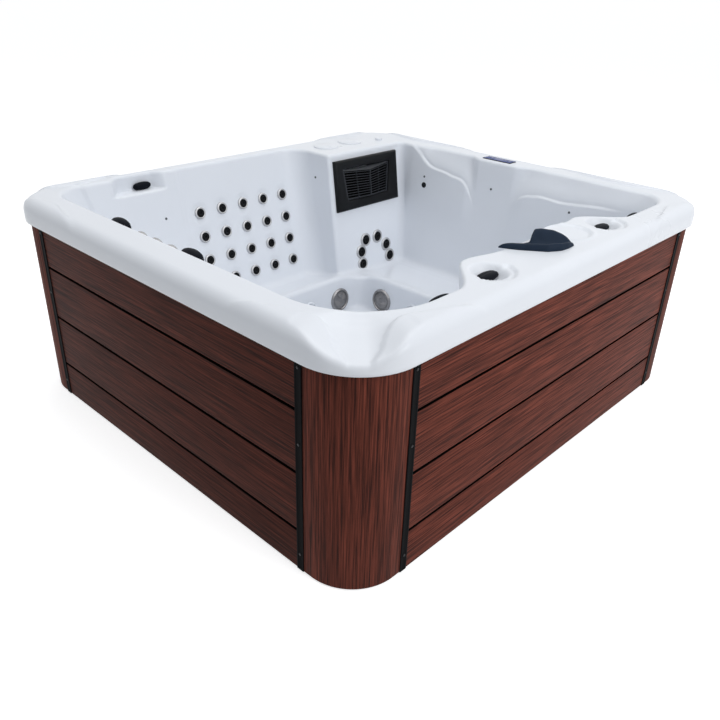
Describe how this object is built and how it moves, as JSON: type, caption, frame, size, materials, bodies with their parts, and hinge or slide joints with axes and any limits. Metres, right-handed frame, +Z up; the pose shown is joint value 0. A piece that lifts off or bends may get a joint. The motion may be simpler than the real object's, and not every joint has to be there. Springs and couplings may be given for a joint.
{
  "type": "hot tub",
  "caption": "Free-standing rectangular hot tub: white moulded shell with seats, jets, filter tower and pillows in a dark woodgrain board cabinet.",
  "frame": {"origin": "centre of the rectangular plan, on the surface that the tub stands on", "axes": "+Z up; +Y along the long side, towards the side with the control panel; the filter tower is in the corner at -X, +Y"},
  "size_m": [2, 2.2, 0.8804],
  "materials": {
    "acrylic": "glossy pearl-white acrylic",
    "woodgrain_board": "dark red-brown composite boards with a woodgrain face",
    "black_trim": "matt black extrusion",
    "black_backing": "matt black insulation board",
    "frame_steel": "galvanised steel",
    "tray_plastic": "matt black moulded tray",
    "stainless": "polished stainless steel",
    "black_plastic": "satin black plastic",
    "white_plastic": "glossy white plastic",
    "grey_plastic": "grey moulded plastic",
    "pillow_foam": "blue-black skinned foam",
    "filter_paper": "pleated white filter cloth",
    "panel_blue": "dark blue control face",
    "display_glass": "dark display window",
    "screw_steel": "blackened steel",
    "motor_paint": "dark grey paint",
    "led_lens": "smoked lens"
  },
  "bodies": {
    "tub": {"air_injectors": "white_plastic", "back_boards": "woodgrain_board", "backing_panels": "black_backing", "base_tray": "tray_plastic", "cable_gland": "black_plastic", "control_box": "grey_plastic", "control_housing": "black_plastic", "control_overlay": "panel_blue", "corner_pillows": "pillow_foam", "display_window": "display_glass", "drain_valve": "grey_plastic", "far_corner_panel": "woodgrain_board", "filter_bezel": "black_plastic", "filter_cartridges": "filter_paper", "filter_housing": "grey_plastic", "foot_jet_bodies": "white_plastic", "frame_posts": "frame_steel", "frame_rails": "frame_steel", "front_boards": "woodgrain_board", "front_pillows": "pillow_foam", "heater": "stainless", "left_boards": "woodgrain_board", "left_corner_panel": "woodgrain_board", "left_pillow": "pillow_foam", "near_corner_panel": "woodgrain_board", "neck_headrest": "pillow_foam", "neck_jet_bodies": "white_plastic", "ozone_jet": "black_plastic", "pocket_pillows": "pillow_foam", "pump_motors": "motor_paint", "pump_wet_ends": "black_plastic", "right_boards": "woodgrain_board", "right_corner_panel": "woodgrain_board", "strip_screws": "screw_steel", "suction_covers": "white_plastic", "trim_strips": "black_trim", "tub_shell": "acrylic", "valve_bodies": "white_plastic", "wall_jet_bodies": "white_plastic", "wall_jet_nozzles": "black_plastic", "wall_jet_rings": "stainless", "wall_lights": "led_lens", "water_pipes": "white_plastic"},
    "neck_jet_face_1": {"neck_jet_face_1": "stainless"},
    "neck_jet_face_2": {"neck_jet_face_2": "stainless"},
    "neck_jet_face_3": {"neck_jet_face_3": "stainless"},
    "foot_jet_face_1": {"foot_jet_face_1": "stainless"},
    "foot_jet_face_2": {"foot_jet_face_2": "stainless"},
    "diverter_cap_1": {"diverter_cap_1": "white_plastic"},
    "diverter_cap_2": {"diverter_cap_2": "white_plastic"},
    "air_knob": {"air_knob": "white_plastic"},
    "weir_flap": {"weir_flap": "black_plastic"},
    "drain_collar": {"drain_collar": "black_plastic"},
    "filter_grille": {"filter_grille": "black_plastic"},
    "control_button_1": {"control_button_1": "panel_blue"},
    "control_button_2": {"control_button_2": "panel_blue"},
    "control_button_3": {"control_button_3": "panel_blue"},
    "control_button_4": {"control_button_4": "panel_blue"},
    "pump_impeller_1": {"pump_impeller_1": "grey_plastic"},
    "pump_impeller_2": {"pump_impeller_2": "grey_plastic"}
  },
  "joints": [
    {"name": "neck_jet_turn_1", "type": "hinge", "parent": "tub", "child": "neck_jet_face_1", "pos_m": [-0.24, -0.93889, 0.785], "axis": [0, 0.9745, 0.2242], "range_deg": [0, 90]},
    {"name": "neck_jet_turn_2", "type": "hinge", "parent": "tub", "child": "neck_jet_face_2", "pos_m": [-0.146, -0.93889, 0.785], "axis": [0, 0.9745, 0.2242], "range_deg": [0, 90]},
    {"name": "neck_jet_turn_3", "type": "hinge", "parent": "tub", "child": "neck_jet_face_3", "pos_m": [-0.052, -0.93889, 0.785], "axis": [0, 0.9745, 0.2242], "range_deg": [0, 90]},
    {"name": "foot_jet_turn_1", "type": "hinge", "parent": "tub", "child": "foot_jet_face_1", "pos_m": [-0.49755, 0.325, 0.118], "axis": [0.9947, 0, 0.1029], "range_deg": [0, 90]},
    {"name": "foot_jet_turn_2", "type": "hinge", "parent": "tub", "child": "foot_jet_face_2", "pos_m": [-0.334, 0.48255, 0.118], "axis": [0, -0.9947, 0.1029], "range_deg": [0, 90]},
    {"name": "diverter_turn_1", "type": "hinge", "parent": "tub", "child": "diverter_cap_1", "pos_m": [-0.81, 0.518, 0.842], "axis": [0, 0, 1], "range_deg": [-90, 90]},
    {"name": "diverter_turn_2", "type": "hinge", "parent": "tub", "child": "diverter_cap_2", "pos_m": [-0.817, 0.703, 0.842], "axis": [0, 0, 1], "range_deg": [-90, 90]},
    {"name": "air_knob_turn", "type": "hinge", "parent": "tub", "child": "air_knob", "pos_m": [-0.755, 0.872, 0.842], "axis": [0, 0, 1], "range_deg": [-135, 0]},
    {"name": "weir_flap_swing", "type": "hinge", "parent": "tub", "child": "weir_flap", "pos_m": [-0.64553, 0.641, 0.59558], "axis": [0, -1, 0], "range_deg": [0, 38], "stiffness_Nm_per_rad": 0.5, "springref_deg": -14.32},
    {"name": "drain_collar_turn", "type": "hinge", "parent": "tub", "child": "drain_collar", "pos_m": [-0.52, 1.078, 0.1], "axis": [0, 1, 0], "range_deg": [0, 90]},
    {"name": "filter_grille_pull", "type": "slide", "parent": "tub", "child": "filter_grille", "axis": [0.9902, 0, 0.1397], "range_m": [0, 0.08]},
    {"name": "control_button_press_1", "type": "slide", "parent": "tub", "child": "control_button_1", "axis": [0, 0, -1], "range_m": [0, 0.0012], "stiffness_N_per_m": 400, "springref_m": -0.0004},
    {"name": "control_button_press_2", "type": "slide", "parent": "tub", "child": "control_button_2", "axis": [0, 0, -1], "range_m": [0, 0.0012], "stiffness_N_per_m": 400, "springref_m": -0.0004},
    {"name": "control_button_press_3", "type": "slide", "parent": "tub", "child": "control_button_3", "axis": [0, 0, -1], "range_m": [0, 0.0012], "stiffness_N_per_m": 400, "springref_m": -0.0004},
    {"name": "control_button_press_4", "type": "slide", "parent": "tub", "child": "control_button_4", "axis": [0, 0, -1], "range_m": [0, 0.0012], "stiffness_N_per_m": 400, "springref_m": -0.0004},
    {"name": "pump_impeller_spin_1", "type": "hinge", "parent": "tub", "child": "pump_impeller_1", "pos_m": [0.818, -0.47, 0.108], "axis": [0, 1, 0], "continuous": true},
    {"name": "pump_impeller_spin_2", "type": "hinge", "parent": "tub", "child": "pump_impeller_2", "pos_m": [0.818, 0.33, 0.108], "axis": [0, 1, 0], "continuous": true}
  ]
}
